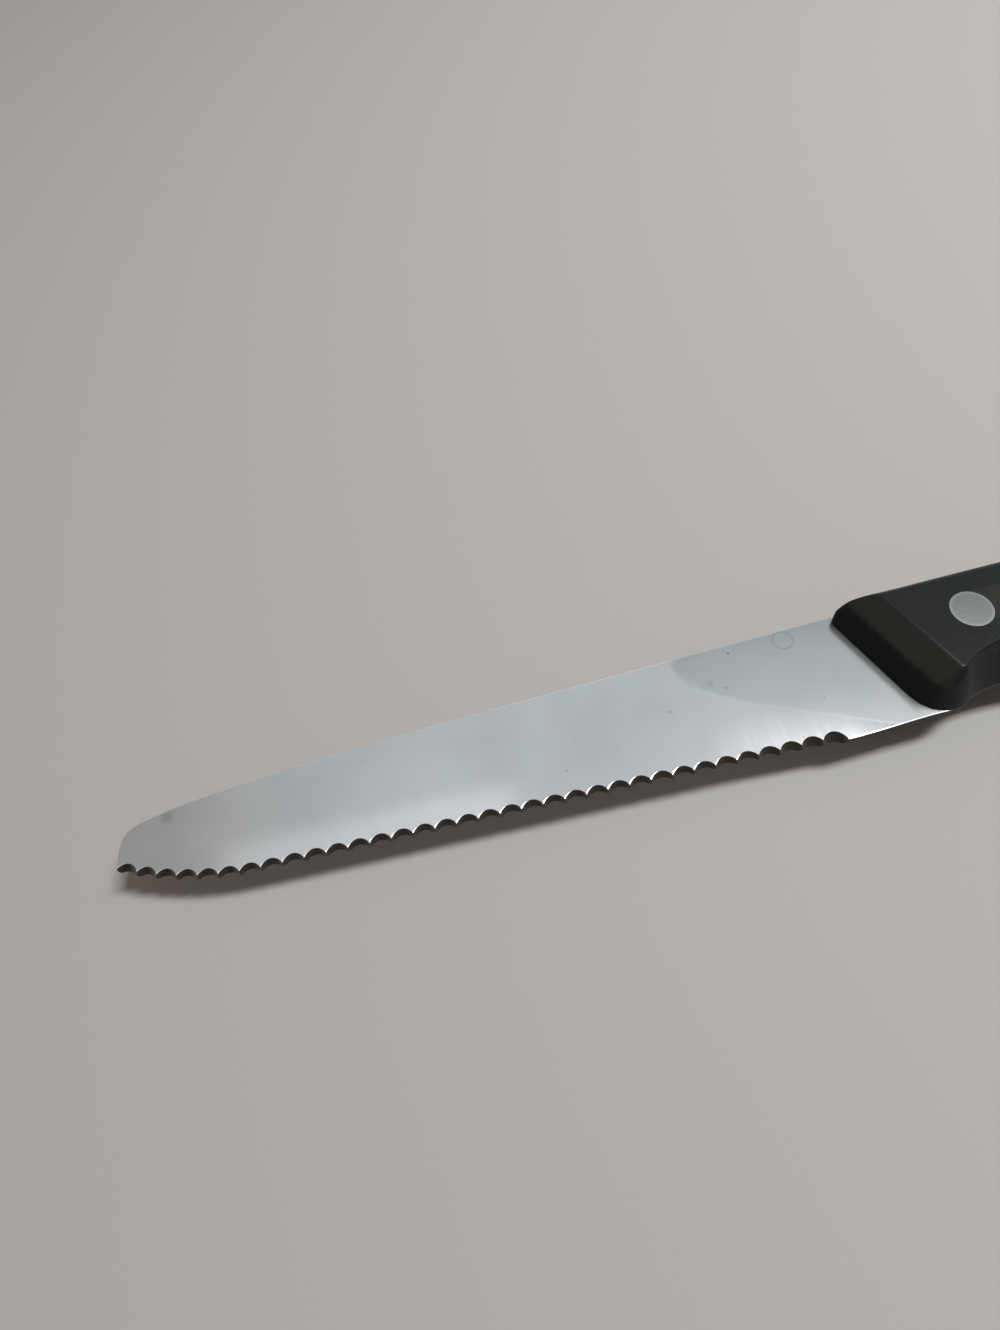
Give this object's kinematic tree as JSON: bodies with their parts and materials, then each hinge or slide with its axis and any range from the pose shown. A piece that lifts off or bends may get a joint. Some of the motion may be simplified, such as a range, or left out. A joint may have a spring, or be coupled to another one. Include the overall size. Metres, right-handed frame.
{
  "type": "steak knife",
  "caption": "Table knife with a rounded tip, a scalloped edge and a full tang between riveted black plastic scales that end in a hooked butt.",
  "frame": {"origin": "centre of the part's outline, on the flat of the right scale, which it lies on", "axes": "+X towards the butt of the handle, +Y towards the spine, +Z out of the left face, where the scallops are ground"},
  "size_m": [0.237, 0.0272, 0.016],
  "materials": {
    "steel": "ground and satin-polished stainless steel",
    "scale": "satin black moulded acetal",
    "rivet": "sanded flush aluminium"
  },
  "bodies": {
    "root": {"blade": "steel", "left_scale": "scale", "right_scale": "scale", "front_rivet_socket": "rivet", "front_rivet_post": "rivet", "middle_rivet_socket": "rivet", "middle_rivet_post": "rivet", "rear_rivet_socket": "rivet", "rear_rivet_post": "rivet"}
  },
  "joints": []
}
